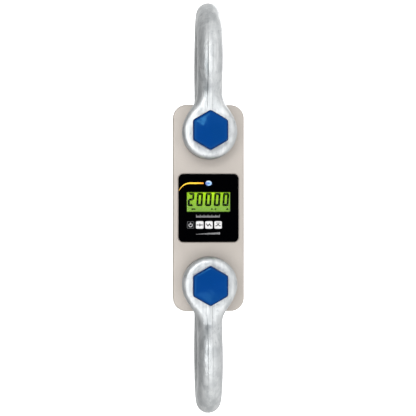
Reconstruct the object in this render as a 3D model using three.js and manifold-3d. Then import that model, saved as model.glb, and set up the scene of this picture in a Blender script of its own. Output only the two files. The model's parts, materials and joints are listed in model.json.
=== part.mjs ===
// A 20 t crane scale: a machined tension link with a display panel, hung between two forged bow shackles.
//
// Frame, in millimetres: the origin is where the crane hook bears, at the inside of the upper bow's crown.
// +Z is up, along the line of pull. The display faces -Y, and +X is to the right of someone reading it.
// Everything hangs straight down from the origin, as it does in use.

import * as THREE from "three";
import { mergeVertices } from "three/addons/utils/BufferGeometryUtils.js";
import Module from "manifold-3d";

const wasm = await Module();
wasm.setup();

// ---------------------------------------------------------------- driving dimensions

const PIN_PITCH = 277; // between the two shackle bolts' axes
const FIT_GAP = 0.3; // left between pieces that rest on each other
const SKIN_GAP = 0.05; // left between flat pieces that are glued, clamped or sealed together
const BEYOND = 5; // how far a cutter reaches past the face that it opens

const bolt = {
  radius: 25,
  threadRadius: 21, // M42
  headFlats: 63,
  headHeight: 28,
  nutFlats: 65,
  nutHeight: 34,
  nutRadius: 21.5,
  endPastNut: 14,
  splitPinPastNut: 6.5,
  splitPinEyeWire: 2.6,
  splitPinLegWire: 2.9,
  splitPinHole: 4.5,
};
const spacerRing = { innerRadius: 27, outerRadius: 40 };

const bow = {
  barRadius: 23,
  insideWidth: 126,
  insideLength: 174, // from the bolt's near side to the crown
  jaw: 74, // between the two ears
  earRadius: 52,
  earThickness: 45,
  earBore: 26.6,
  neckFillet: 24,
  edgeRound: 12,
  straightFrom: 40, // how far above the bolt the round bar starts
  straightTo: 62, // where the bar starts to swell out
  swellHandles: [30, 38], // how slowly the swell starts and ends
};

const link = {
  width: 132,
  length: 383,
  thickness: 56,
  corner: 25,
  edgeRound: 3,
  boreRadius: 27,
};
const LINK_BACK = link.thickness / 2;
const LINK_FRONT = -LINK_BACK;

const panel = {
  width: 111,
  height: 126,
  corner: 9,
  recessDepth: 3.2,
  recessMargin: 0.5,
  recessChamfer: 1.5,
  plate: 1.9,
  overlay: 0.55,
  gasket: 0.5,
  screwInset: 5.2,
};
const displayPocket = { width: 95, height: 109, corner: 6, floor: -8 };
const screen = { width: 81.6, height: 37.1, corner: 1, rise: 11.1 }; // rise is above the panel's middle
const lcd = { width: 90, height: 44, glass: 2.8, light: 3.4, frameWall: 1.2 };
const key = { size: 14.5, corner: 2.2, pitch: 17.03, firstX: -33.3, drop: 31.4, flange: 16.2, gap: 0.3 };
const KEY_NAMES = ["power", "zero", "graph", "peak"];
const keyBack = { flangeDepth: 0.8, stem: 0.4 };
const tactSwitch = { size: 6, height: 3.5, plunger: 1.2 };
const board = { width: 92, height: 106, corner: 5.5, thickness: 1.6, front: -18.6, screwX: 42, screwZ: 49 };
const gauge = { along: 11, across: 7, thickness: 0.35, x: 20, upperZ: 20, lowerZ: -12 };
const CONNECTOR_DEPTH = 5.6;

const batteryPocket = { width: 78, height: 58, corner: 6, floor: 8 };
const cover = { width: 100, height: 80, corner: 8, recessDepth: 3.2, margin: 0.5, plate: 2.4, gasket: 0.6 };
const cell = {
  radius: 7.1,
  length: 49.2,
  nubRadius: 2.75,
  nubLength: 1.3,
  pitch: 15.4,
  count: 3,
  centreY: 16.9,
  endShift: 2, // towards the nub's side, which leaves room for the spring
};
const holder = { width: 64, height: 50, wall: 2, floor: 1.2, back: 23.8 };
const lead = { x: 35.6, z: -10, radius: 1.5, holeRadius: 3.2 };

const panelScrew = { radius: 1.5, length: 8, tapRadius: 1.8, tapDepth: 9, sinkRadius: 3.3 };
const coverScrew = { radius: 2, length: 9, tapRadius: 2.3, tapDepth: 9, sinkRadius: 4.2, inset: 6 };
const pillarScrew = {
  radius: 1.25,
  depth: 5,
  tapRadius: 1.5,
  pillarRadius: 3,
  headRadius: 2.7,
  headHeight: 1.9,
};

// ---------------------------------------------------------------- derived places

const UPPER_PIN_Z = -(bow.insideLength + bolt.radius);
const LOWER_PIN_Z = UPPER_PIN_Z - PIN_PITCH;
const LINK_Z = (UPPER_PIN_Z + LOWER_PIN_Z) / 2;

const EAR_INNER = bow.jaw / 2;
const EAR_OUTER = EAR_INNER + bow.earThickness;

const PANEL_LEDGE = LINK_FRONT + panel.recessDepth;
const PLATE_BACK = PANEL_LEDGE - panel.gasket;
const PLATE_FRONT = PLATE_BACK - panel.plate;
const OVERLAY_BACK = PLATE_FRONT - SKIN_GAP;
const OVERLAY_FRONT = OVERLAY_BACK - panel.overlay;
const BOARD_BACK = board.front + board.thickness;

const COVER_LEDGE = LINK_BACK - cover.recessDepth;
const COVER_FRONT = COVER_LEDGE + cover.gasket;
const COVER_BACK = COVER_FRONT + cover.plate;

// ---------------------------------------------------------------- materials

const finish = (color, roughness, metalness, more = {}) =>
  new THREE.MeshStandardMaterial({ color, roughness, metalness, ...more });

const materials = {
  anodised: finish(0xd2cbc2, 0.45, 0.6),
  galvanised: finish(0xc3c7c8, 0.4, 0.85),
  blueBolt: finish(0x0a4a96, 0.35, 0.2),
  zincSteel: finish(0xb4b6b8, 0.35, 0.9),
  stainless: finish(0xb9b9b6, 0.3, 0.95),
  nylon: finish(0x1c1c1e, 0.6, 0),
  overlay: finish(0x08090a, 0.4, 0),
  whiteKey: finish(0xf2f2f0, 0.5, 0),
  blackKey: finish(0x0c0d0e, 0.45, 0),
  clear: finish(0xf4f8f4, 0.05, 0, { transparent: true, opacity: 0.25 }),
  lcdGlass: finish(0x9cc53a, 0.2, 0),
  backlight: finish(0xb6e23c, 0.5, 0),
  abs: finish(0x202224, 0.6, 0),
  circuitBoard: finish(0x14602f, 0.5, 0),
  chip: finish(0x17181a, 0.55, 0),
  connector: finish(0xe9e4d4, 0.55, 0),
  gasket: finish(0x2a2a2a, 0.9, 0),
  foil: finish(0xc9823c, 0.45, 0.4),
  ribbon: finish(0xb5651d, 0.5, 0.1),
  leadJacket: finish(0x8f1d1d, 0.6, 0),
  cellJacket: finish(0x2d4a3a, 0.4, 0.3),
  spring: finish(0xc8c8c4, 0.3, 0.95),
};

// ---------------------------------------------------------------- shapes and solids

/** A closed three.js geometry as a solid that can be joined and cut. */
function solid(geometry) {
  const bare = geometry.index ? geometry.toNonIndexed() : geometry.clone();
  for (const name of Object.keys(bare.attributes)) {
    if (name !== "position") bare.deleteAttribute(name);
  }
  const merged = mergeVertices(bare, 1e-4);
  return new wasm.Manifold(
    new wasm.Mesh({
      numProp: 3,
      vertProperties: merged.attributes.position.array,
      triVerts: new Uint32Array(merged.index.array),
    }),
  );
}

/** A solid back as a three.js geometry. */
function geometryOf(made) {
  const mesh = made.getMesh();
  const geometry = new THREE.BufferGeometry();
  geometry.setAttribute("position", new THREE.BufferAttribute(mesh.vertProperties, 3));
  geometry.setIndex(new THREE.BufferAttribute(mesh.triVerts, 1));
  return geometry;
}

const joined = (...geometries) => geometryOf(geometries.map(solid).reduce((a, b) => a.add(b)));
const cut = (geometry, ...tools) =>
  geometryOf(tools.map(solid).reduce((a, b) => a.subtract(b), solid(geometry)));

/** A rectangle with round corners, centred on (x, y). */
function roundedRectangle(width, height, radius, x = 0, y = 0, Outline = THREE.Shape) {
  const right = width / 2 - radius;
  const top = height / 2 - radius;
  const outline = new Outline();
  outline.absarc(x + right, y + top, radius, 0, Math.PI / 2);
  outline.absarc(x - right, y + top, radius, Math.PI / 2, Math.PI);
  outline.absarc(x - right, y - top, radius, Math.PI, 1.5 * Math.PI);
  outline.absarc(x + right, y - top, radius, 1.5 * Math.PI, 2 * Math.PI);
  outline.closePath();
  return outline;
}

/** A circle drawn as a number of equal arcs, each of which gets the same share of the segments. */
function circle(radius, x = 0, y = 0, Outline = THREE.Shape, arcs = 4) {
  const outline = new Outline();
  const turn = (2 * Math.PI) / arcs;
  for (let i = 0; i < arcs; i++) outline.absarc(x, y, radius, i * turn, (i + 1) * turn);
  return outline;
}

/** A hexagon with two corners on the Y axis, sized across its flats. */
function hexagon(flats) {
  const outline = new THREE.Shape();
  const corner = flats / Math.sqrt(3);
  for (let i = 0; i < 6; i++) {
    const angle = Math.PI / 2 + (i * Math.PI) / 3;
    const point = [corner * Math.cos(angle), corner * Math.sin(angle)];
    if (i) outline.lineTo(...point);
    else outline.moveTo(...point);
  }
  outline.closePath();
  return outline;
}

/** An outline drawn in X and Z, made solid from y = front to y = back. round softens both rims. */
function slab(outline, front, back, { round = 0, segments = 2 } = {}) {
  const geometry = new THREE.ExtrudeGeometry(outline, {
    depth: back - front - 2 * round,
    curveSegments: segments,
    bevelEnabled: round > 0,
    bevelThickness: round,
    bevelSize: round,
    bevelOffset: -round,
    bevelSegments: 1,
  });
  geometry.rotateX(Math.PI / 2); // the outline's second axis turns to +Z and its depth to -Y
  geometry.translate(0, back - round, 0);
  return geometry;
}

/** A solid of revolution about the Y axis at (x, z), from [radius, y] pairs in order of y. */
function turned(profile, { x = 0, z = 0, segments = 24 } = {}) {
  const points = profile.map(([radius, y]) => new THREE.Vector2(radius, y));
  const geometry = new THREE.LatheGeometry(points, segments);
  geometry.translate(x, 0, z);
  return geometry;
}

/** A plain round rod along Y. */
const rod = (radius, front, back, place = {}) =>
  turned([[0, front], [radius, front], [radius, back], [0, back]], place);

/** A ring along Y: an open tube wall with flat ends. */
const ring = (inner, outer, front, back, place = {}) =>
  turned([[inner, front], [outer, front], [outer, back], [inner, back], [inner, front]], place);

/** A round section swept along a curve. */
function wire(curve, radius, steps, sides) {
  return new THREE.ExtrudeGeometry(circle(radius, 0, 0, THREE.Shape, 1), {
    extrudePath: curve,
    steps,
    curveSegments: sides / 2,
    bevelEnabled: false,
  });
}

function named(name, geometry, material) {
  const mesh = new THREE.Mesh(geometry, material);
  mesh.name = name;
  return mesh;
}

const fourCorners = (x, z) => [[-x, z], [x, z], [-x, -z], [x, -z]];

// ---------------------------------------------------------------- the link

/** Screw places, as [x, z] from the middle of the link. */
const PANEL_SCREWS = fourCorners(panel.width / 2 - panel.screwInset, panel.height / 2 - panel.screwInset);
const COVER_SCREWS = fourCorners(cover.width / 2 - coverScrew.inset, cover.height / 2 - coverScrew.inset);
const BOARD_SCREWS = fourCorners(board.screwX, board.screwZ);

/** The machined block: two bores for the bolts, a display pocket in front and a battery pocket behind. */
function linkBody() {
  const outline = roundedRectangle(link.width, link.length, link.corner);
  for (const z of [PIN_PITCH / 2, -PIN_PITCH / 2]) {
    outline.holes.push(circle(link.boreRadius, 0, z, THREE.Path));
  }
  const block = slab(outline, LINK_FRONT, LINK_BACK, { round: link.edgeRound, segments: 3 });
  const recess = (part, margin) =>
    roundedRectangle(part.width + 2 * margin, part.height + 2 * margin, part.corner + margin);
  const chamfered = recess(panel, panel.recessMargin + panel.recessChamfer);
  return cut(
    block,
    slab(recess(panel, panel.recessMargin), LINK_FRONT - BEYOND, PANEL_LEDGE),
    slab(chamfered, LINK_FRONT - 3 * panel.recessChamfer, LINK_FRONT + panel.recessChamfer, {
      round: panel.recessChamfer,
    }),
    slab(recess(displayPocket, 0), LINK_FRONT - BEYOND, displayPocket.floor),
    slab(recess(cover, cover.margin), COVER_LEDGE, LINK_BACK + BEYOND),
    slab(recess(batteryPocket, 0), batteryPocket.floor, LINK_BACK + BEYOND),
    rod(lead.holeRadius, displayPocket.floor - 1, batteryPocket.floor + 1, { ...lead, segments: 10 }),
    ...PANEL_SCREWS.map(([x, z]) =>
      rod(panelScrew.tapRadius, PANEL_LEDGE - 1, PANEL_LEDGE + panelScrew.tapDepth, { x, z, segments: 8 })),
    ...COVER_SCREWS.map(([x, z]) =>
      rod(coverScrew.tapRadius, COVER_LEDGE - coverScrew.tapDepth, COVER_LEDGE + 1, { x, z, segments: 8 })),
  );
}

/** Where a key's middle is, as [x, z] from the middle of the link. */
const keyPlace = (index) => [key.firstX + index * key.pitch, -key.drop];

/** The front panel's outline, open for the screen and the keys. */
function panelOutline(screenGap) {
  const outline = roundedRectangle(panel.width, panel.height, panel.corner);
  const window = [screen.width + 2 * screenGap, screen.height + 2 * screenGap, screen.corner + screenGap];
  outline.holes.push(roundedRectangle(...window, 0, screen.rise, THREE.Path));
  const opening = key.size + 2 * key.gap;
  KEY_NAMES.forEach((_, i) => {
    outline.holes.push(roundedRectangle(opening, opening, key.corner + key.gap, ...keyPlace(i), THREE.Path));
  });
  return outline;
}

/** The aluminium plate behind the overlay, with four pillars that carry the circuit board. */
function panelPlate() {
  const pillars = BOARD_SCREWS.map(([x, z]) =>
    rod(pillarScrew.pillarRadius, PLATE_FRONT + 0.5, board.front - SKIN_GAP, { x, z, segments: 8 }));
  const tapEnd = board.front - pillarScrew.depth - 1;
  const threads = BOARD_SCREWS.map(([x, z]) =>
    rod(pillarScrew.tapRadius, tapEnd, board.front + 1, { x, z, segments: 8 }));
  const { sinkRadius, tapRadius } = panelScrew;
  const sinks = PANEL_SCREWS.map(([x, z]) =>
    turned(
      [[0, PLATE_FRONT - 1], [sinkRadius, PLATE_FRONT - 1], [sinkRadius, PLATE_FRONT + 0.1],
        [tapRadius, PLATE_FRONT + 0.1 + sinkRadius - tapRadius], [tapRadius, PLATE_BACK + 1],
        [0, PLATE_BACK + 1]],
      { x, z, segments: 10 },
    ));
  const plate = slab(panelOutline(0.2), PLATE_FRONT, PLATE_BACK, { segments: 1 });
  return cut(joined(plate, ...pillars), ...threads, ...sinks);
}

/** A flat ring that seals a plate to its ledge, between the faces at front and back, open at each screw. */
function gasket(part, pocket, front, back, screws) {
  const [inset, screwHole] = [0.3, 2.6];
  const outline = roundedRectangle(part.width - 2 * inset, part.height - 2 * inset, part.corner);
  outline.holes.push(
    roundedRectangle(pocket.width + 1, pocket.height + 1, pocket.corner + 0.5, 0, 0, THREE.Path),
    ...screws.map(([x, z]) => circle(screwHole, x, z, THREE.Path, 2)),
  );
  return slab(outline, front + SKIN_GAP, back - SKIN_GAP);
}

/** A countersunk screw whose head is flush at y = face. into is +1 or -1, the way it goes in along Y. */
function countersunkScrew(face, into, { radius, length }, [x, z]) {
  const rimHeight = 0.15;
  const head = 2 * radius - rimHeight;
  const neck = rimHeight + radius;
  const profile = [[0, 0], [head, 0], [head, rimHeight], [radius, neck], [radius, length], [0, length]];
  const screw = turned(profile, { segments: 8 });
  const socket = slab(hexagon(1.3 * radius), -1, 0.8 * radius);
  const made = cut(screw, socket);
  if (into < 0) made.rotateX(Math.PI);
  made.translate(x, face, z);
  return made;
}

/** A pan head screw that holds the board to a pillar, driven in towards -Y. */
function boardScrew(x, z) {
  const { radius, headRadius, headHeight } = pillarScrew;
  const headBase = BOARD_BACK + 2 * SKIN_GAP;
  const top = headBase + headHeight;
  const tip = board.front - pillarScrew.depth;
  const screw = turned(
    [[0, tip], [radius, tip], [radius, headBase], [headRadius, headBase], [headRadius, top - 0.6],
      [headRadius - 0.8, top], [0, top]],
    { x, z, segments: 8 },
  );
  const driverSlot = new THREE.BoxGeometry(0.7, 1.6, 6).translate(x, top, z);
  return cut(screw, driverSlot);
}

/** A key: the pad that shows, a flange that keeps it behind the plate, and a stem over its switch. */
function keyCap(index) {
  const [x, z] = keyPlace(index);
  const flangeFront = PLATE_BACK + 2 * SKIN_GAP;
  const flangeBack = flangeFront + keyBack.flangeDepth;
  const pad = roundedRectangle(key.size, key.size, key.corner, x, z);
  const flange = roundedRectangle(key.flange, key.flange, key.corner + 1, x, z);
  return joined(
    slab(pad, OVERLAY_FRONT - 0.2, flangeBack, { round: 0.3, segments: 1 }),
    slab(flange, flangeFront, flangeBack, { segments: 1 }),
    rod(2.5, flangeBack - 0.1, flangeBack + keyBack.stem, { x, z, segments: 8 }),
  );
}

/** The switch on the board under a key. */
function keySwitch(index) {
  const [x, z] = keyPlace(index);
  const top = board.front - tactSwitch.height;
  const body = roundedRectangle(tactSwitch.size, tactSwitch.size, 0.5, x, z);
  return joined(
    slab(body, top, board.front - SKIN_GAP, { segments: 1 }),
    rod(1.7, top - tactSwitch.plunger, top + 0.1, { x, z, segments: 8 }),
  );
}

/** The liquid crystal glass, its light guide and the frame that holds both to the board. */
function displayStack() {
  const frameFront = PLATE_BACK + 0.2;
  const glassBack = frameFront + lcd.glass;
  const lightFront = glassBack + 0.1;
  const around = (margin, Outline) =>
    roundedRectangle(lcd.width + 2 * margin, lcd.height + 2 * margin, 0.6, 0, screen.rise, Outline);
  const frame = around(lcd.frameWall + 0.2, THREE.Shape);
  frame.holes.push(around(0.2, THREE.Path));
  const coarse = { segments: 1 };
  const light = slab(around(0), lightFront, lightFront + lcd.light, coarse);
  return [
    named("lcd_frame", slab(frame, frameFront, board.front - 0.1, coarse), materials.abs),
    named("lcd_glass", slab(around(0), frameFront, glassBack, coarse), materials.lcdGlass),
    named("backlight_panel", light, materials.backlight),
  ];
}

/** The circuit board and the pieces on its back. */
function electronics() {
  const outline = roundedRectangle(board.width, board.height, board.corner);
  outline.holes.push(...BOARD_SCREWS.map(([x, z]) => circle(1.6, x, z, THREE.Path, 2)));
  const base = BOARD_BACK + SKIN_GAP;
  const onBack = (width, height, depth, x, z) =>
    slab(roundedRectangle(width, height, 0.4, x, z), base, base + depth, { segments: 1 });
  return [
    named("main_board", slab(outline, board.front, BOARD_BACK), materials.circuitBoard),
    named("processor_chip", onBack(12, 12, 1.4, 12, 26), materials.chip),
    named("amplifier_chip", onBack(10, 7, 1.8, -12, 14), materials.chip),
    named("power_connector", onBack(8, 6, CONNECTOR_DEPTH, lead.x, lead.z), materials.connector),
    ...KEY_NAMES.map((name, i) => named(`${name}_key_switch`, keySwitch(i), materials.chip)),
    ...BOARD_SCREWS.map(([x, z], i) => named(`board_screw_${i + 1}`, boardScrew(x, z), materials.zincSteel)),
  ];
}

/** Four foil gauges on the web between the pockets, a pair along the pull and a pair across it. */
function strainGauges() {
  const back = displayPocket.floor - SKIN_GAP;
  const { along, across, x, upperZ, lowerZ } = gauge;
  const outlines = [
    roundedRectangle(across, along, 0.6, -x, upperZ),
    roundedRectangle(along, across, 0.6, x, upperZ),
    roundedRectangle(along, across, 0.6, -x, lowerZ),
    roundedRectangle(across, along, 0.6, x, lowerZ),
  ];
  return outlines.map((outline, i) => {
    const foil = slab(outline, back - gauge.thickness, back, { segments: 1 });
    return named(`strain_gauge_${i + 1}`, foil, materials.foil);
  });
}

/** The flat ribbon that carries the gauges' signal from the web to the amplifier. */
function gaugeRibbon() {
  const [low, high, thickness, width] = [displayPocket.floor - 0.1, BOARD_BACK + 0.3, 0.4, 8];
  const side = new THREE.Shape(); // drawn in Z and Y, so it is extruded along X
  side.moveTo(-14, low);
  side.lineTo(4, low);
  side.lineTo(8, high + thickness);
  side.lineTo(10, high + thickness);
  side.lineTo(10, high);
  side.lineTo(8 - thickness, high);
  side.lineTo(4 - thickness, low - thickness);
  side.lineTo(-14, low - thickness);
  side.closePath();
  const geometry = new THREE.ExtrudeGeometry(side, { depth: width, bevelEnabled: false });
  geometry.rotateY(-Math.PI / 2); // the outline's first axis turns to +Z and its depth to -X
  geometry.translate(width / 2, 0, 0);
  return geometry;
}

/** The two-core lead from the battery holder, through the web, to the board. */
function batteryLead() {
  const start = BOARD_BACK + SKIN_GAP + CONNECTOR_DEPTH + FIT_GAP;
  const end = holder.width / 2 + FIT_GAP + 1;
  const route = [[lead.x, start], [lead.x, 0], [lead.x, 12], [lead.x - 0.4, 15.5], [end, 18.5]];
  const curve = new THREE.CatmullRomCurve3(route.map(([x, y]) => new THREE.Vector3(x, y, lead.z)));
  return wire(curve, lead.radius, 10, 8);
}

/** The tray that holds three cells side by side, open towards the cover. */
function batteryHolder() {
  const front = batteryPocket.floor + FIT_GAP;
  const floor = front + holder.floor;
  const [insideX, insideZ] = [holder.width - 2 * holder.wall, holder.height - 2 * holder.wall];
  const [ribHeight, ribThickness] = [5, 0.7];
  const tray = slab(roundedRectangle(holder.width, holder.height, 2), front, holder.back, { segments: 1 });
  const bay = slab(roundedRectangle(insideX, insideZ, 1), floor, holder.back + BEYOND, { segments: 1 });
  const ribs = [-0.5, 0.5].map((step) =>
    new THREE.BoxGeometry(insideX + 1, ribHeight, ribThickness)
      .translate(0, floor + ribHeight / 2 - 0.2, step * cell.pitch));
  return joined(cut(tray, bay), ...ribs);
}

/** A cell lying along X. turn is +1 with its nub to the right, -1 to the left. */
function batteryCell(index) {
  const turn = index % 2 ? -1 : 1;
  const half = cell.length / 2;
  const geometry = turned(
    [[0, -half], [cell.radius - 0.5, -half], [cell.radius, 0.5 - half], [cell.radius, half - 0.5],
      [cell.radius - 0.5, half], [cell.nubRadius, half], [cell.nubRadius, half + cell.nubLength],
      [0, half + cell.nubLength]],
    { segments: 12 },
  );
  geometry.rotateZ((-turn * Math.PI) / 2);
  geometry.translate(turn * cell.endShift, cell.centreY, cellZ(index));
  return geometry;
}

const cellZ = (index) => (index - (cell.count - 1) / 2) * cell.pitch;

/** The coil that presses on a cell's flat end. */
function batterySpring(index) {
  const turn = index % 2 ? -1 : 1;
  const [turns, wireRadius, wide, narrow] = [2.5, 0.4, 4.6, 2.6];
  const room = holder.width / 2 - holder.wall - cell.length / 2 + cell.endShift;
  const length = room - 2 * wireRadius - FIT_GAP;
  const points = [];
  const perTurn = 8;
  for (let i = 0; i <= turns * perTurn; i++) {
    const share = i / (turns * perTurn);
    const angle = (2 * Math.PI * i) / perTurn;
    const radius = wide + (narrow - wide) * share;
    points.push(new THREE.Vector3(share * length, radius * Math.cos(angle), radius * Math.sin(angle)));
  }
  const geometry = wire(new THREE.CatmullRomCurve3(points), wireRadius, turns * perTurn, 4);
  geometry.translate(-holder.width / 2 + holder.wall + wireRadius + FIT_GAP / 2, 0, 0);
  if (turn < 0) geometry.rotateY(Math.PI);
  geometry.translate(0, cell.centreY, cellZ(index));
  return geometry;
}

/** The plate over the battery pocket, countersunk for its four screws. */
function batteryCover() {
  const { sinkRadius, tapRadius } = coverScrew;
  const rim = COVER_BACK - 0.2;
  const sinks = COVER_SCREWS.map(([x, z]) =>
    turned(
      [[0, COVER_FRONT - 1], [tapRadius, COVER_FRONT - 1], [tapRadius, rim - 2], [sinkRadius, rim],
        [sinkRadius, COVER_BACK + 1], [0, COVER_BACK + 1]],
      { x, z, segments: 10 },
    ));
  const outline = roundedRectangle(cover.width, cover.height, cover.corner);
  return cut(slab(outline, COVER_FRONT, COVER_BACK, { round: 0.4 }), ...sinks);
}

/** The display side, from the seal out to the keys. */
function frontPanel() {
  const seal = gasket(panel, displayPocket, PLATE_BACK, PANEL_LEDGE, PANEL_SCREWS);
  const film = slab(panelOutline(0.2), OVERLAY_FRONT, OVERLAY_BACK, { segments: 1 });
  const opening = roundedRectangle(screen.width, screen.height, screen.corner, 0, screen.rise);
  const window = slab(opening, OVERLAY_FRONT, PLATE_BACK - FIT_GAP);
  const screwFace = PLATE_FRONT + SKIN_GAP;
  return [
    named("panel_gasket", seal, materials.gasket),
    named("panel_plate", panelPlate(), materials.anodised),
    named("membrane_overlay", film, materials.overlay),
    named("display_window", window, materials.clear),
    ...KEY_NAMES.map((name, i) =>
      named(`${name}_key`, keyCap(i), name === "power" ? materials.blackKey : materials.whiteKey)),
    ...PANEL_SCREWS.map((place, i) =>
      named(`panel_screw_${i + 1}`, countersunkScrew(screwFace, 1, panelScrew, place), materials.zincSteel)),
  ];
}

/** The battery side, from the lead out to the cover. */
function batterySide() {
  const seal = gasket(cover, batteryPocket, COVER_LEDGE, COVER_FRONT, COVER_SCREWS);
  const screwFace = COVER_BACK - 2 * SKIN_GAP;
  const cells = [];
  for (let i = 0; i < cell.count; i++) {
    cells.push(
      named(`battery_${i + 1}`, batteryCell(i), materials.cellJacket),
      named(`battery_spring_${i + 1}`, batterySpring(i), materials.spring),
    );
  }
  return [
    named("battery_lead", batteryLead(), materials.leadJacket),
    named("battery_holder", batteryHolder(), materials.abs),
    ...cells,
    named("cover_gasket", seal, materials.gasket),
    named("battery_cover", batteryCover(), materials.stainless),
    ...COVER_SCREWS.map((place, i) =>
      named(`cover_screw_${i + 1}`, countersunkScrew(screwFace, -1, coverScrew, place), materials.stainless)),
  ];
}

function buildLink() {
  const group = new THREE.Group();
  group.position.z = LINK_Z;
  group.add(
    named("load_link_body", linkBody(), materials.anodised),
    ...frontPanel(),
    ...displayStack(),
    ...electronics(),
    ...strainGauges(),
    named("gauge_ribbon", gaugeRibbon(), materials.ribbon),
    ...batterySide(),
  );
  return group;
}

// ---------------------------------------------------------------- the shackles

/** The bow bar's centre line in Y and Z, ear to ear over the crown. The bolt's axis is at z = 0. */
function bowLine() {
  const earY = EAR_INNER + bow.earThickness / 2;
  const wideY = bow.insideWidth / 2 + bow.barRadius;
  const wideZ = bow.insideLength + bolt.radius - bow.insideWidth / 2;
  const { straightFrom, straightTo, swellHandles } = bow;
  const arc = (4 / 3) * (Math.SQRT2 - 1) * wideY; // a Bezier handle's length for a quarter circle
  const at = (y, z) => new THREE.Vector3(0, y, z);
  const line = new THREE.CurvePath();
  for (const side of [-1, 1]) {
    const places = [
      [at(side * earY, straightFrom), at(side * earY, straightTo)],
      [at(side * earY, straightTo), at(side * earY, straightTo + swellHandles[0]),
        at(side * wideY, wideZ - swellHandles[1]), at(side * wideY, wideZ)],
      [at(side * wideY, wideZ), at(side * wideY, wideZ + arc), at(side * arc, wideZ + wideY),
        at(0, wideZ + wideY)],
    ];
    if (side > 0) places.reverse().forEach((points) => points.reverse());
    for (const points of places) {
      line.add(points.length > 2 ? new THREE.CubicBezierCurve3(...points) : new THREE.LineCurve3(...points));
    }
  }
  return line;
}

/** An ear's outline: the eye, filleted into a neck as wide as the bar. */
function earOutline() {
  const neck = bow.barRadius;
  const fillet = bow.neckFillet;
  const filletX = neck + fillet;
  const filletZ = Math.sqrt((bow.earRadius + fillet) ** 2 - filletX ** 2);
  const meet = Math.atan2(filletZ, filletX);
  const outline = new THREE.Shape();
  outline.absarc(0, 0, bow.earRadius, Math.PI - meet, 2 * Math.PI + meet, false);
  outline.absarc(filletX, filletZ, fillet, Math.PI + meet, Math.PI, true);
  outline.absarc(0, filletZ + 4, neck, 0, Math.PI, false); // its round end stays inside the bar
  outline.absarc(-filletX, filletZ, fillet, 0, -meet, true);
  outline.closePath();
  return outline;
}

/** A forged bow standing over its bolt, whose axis is the group's Y axis. */
function shackleBow() {
  const bar = wire(bowLine(), bow.barRadius, 28, 12);
  const ear = (front, back) => slab(earOutline(), front, back, { round: bow.edgeRound, segments: 4 });
  const bore = rod(bow.earBore, -EAR_OUTER - BEYOND, EAR_OUTER + BEYOND, { segments: 24 });
  return cut(joined(bar, ear(-EAR_OUTER, -EAR_INNER), ear(EAR_INNER, EAR_OUTER)), bore);
}

/** The bolt: a hexagonal head in front, a plain shank and a threaded end behind. */
function shackleBolt() {
  const headBack = -EAR_OUTER - FIT_GAP;
  const headFront = headBack - bolt.headHeight;
  const shankEnd = EAR_OUTER + FIT_GAP;
  const end = shankEnd + FIT_GAP + bolt.nutHeight + bolt.endPastNut;
  const head = slab(hexagon(bolt.headFlats), headFront, headBack, { round: 1.5 });
  const chamfer = 2.5;
  const shank = turned(
    [[0, headBack - 3], [bolt.radius, headBack - 3], [bolt.radius, shankEnd - 1], [bolt.radius - 1, shankEnd],
      [bolt.threadRadius, shankEnd], [bolt.threadRadius, end - chamfer], [bolt.threadRadius - chamfer, end],
      [0, end]],
    { segments: 24 },
  );
  const hole = rod(bolt.splitPinHole, -30, 30, { segments: 10 }).rotateX(Math.PI / 2);
  return cut(joined(head, shank), hole.translate(0, splitPinY(), 0));
}

const splitPinY = () => EAR_OUTER + 2 * FIT_GAP + bolt.nutHeight + bolt.splitPinPastNut;

/** The nut, chamfered on both faces. */
function shackleNut() {
  const front = EAR_OUTER + 2 * FIT_GAP;
  const outline = hexagon(bolt.nutFlats);
  outline.holes.push(circle(bolt.nutRadius, 0, 0, THREE.Path));
  return slab(outline, front, front + bolt.nutHeight, { round: 1.5, segments: 3 });
}

/** The split pin through the bolt's end: an eye above, and two legs spread below. */
function splitPin() {
  const reach = bolt.threadRadius;
  const at = (x, z) => new THREE.Vector3(x, splitPinY(), z);
  const eye = new THREE.CatmullRomCurve3(
    [at(0, 0), at(0, reach + 2), at(-5.5, reach + 7), at(-6, reach + 13), at(0, reach + 17.5),
      at(6, reach + 13), at(5.5, reach + 7), at(1.4, reach + 2.6)],
  );
  const leg = (side) =>
    new THREE.CatmullRomCurve3(
      [at(0, 1), at(0, -reach), at(side * 2.5, -reach - 5), at(side * 10, -reach - 8),
        at(side * 17, -reach - 5)],
    );
  return joined(
    wire(eye, bolt.splitPinEyeWire, 12, 6),
    wire(leg(-1), bolt.splitPinLegWire, 5, 6),
    wire(leg(1), bolt.splitPinLegWire, 5, 6),
  );
}

/** A nylon ring that keeps the link in the middle of the jaw. */
function spacer(side) {
  const [near, far] = [LINK_BACK + FIT_GAP, EAR_INNER - FIT_GAP];
  const [front, back] = side < 0 ? [-far, -near] : [near, far];
  return ring(spacerRing.innerRadius, spacerRing.outerRadius, front, back, { segments: 24 });
}

function buildShackle(prefix, pinZ, turn) {
  const bowGroup = new THREE.Group();
  bowGroup.rotation.y = turn;
  bowGroup.add(named(`${prefix}_shackle_bow`, shackleBow(), materials.galvanised));
  const boltGroup = new THREE.Group();
  boltGroup.add(
    named(`${prefix}_shackle_bolt`, shackleBolt(), materials.blueBolt),
    named(`${prefix}_shackle_nut`, shackleNut(), materials.galvanised),
    named(`${prefix}_split_pin`, splitPin(), materials.zincSteel),
    named(`${prefix}_front_spacer`, spacer(-1), materials.nylon),
    named(`${prefix}_rear_spacer`, spacer(1), materials.nylon),
  );
  const group = new THREE.Group();
  group.position.z = pinZ;
  group.add(bowGroup, boltGroup);
  return group;
}

// ---------------------------------------------------------------- the whole scale

const craneScale = new THREE.Group();
craneScale.add(
  buildShackle("upper", UPPER_PIN_Z, 0),
  buildLink(),
  buildShackle("lower", LOWER_PIN_Z, Math.PI),
);

export default craneScale;
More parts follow.
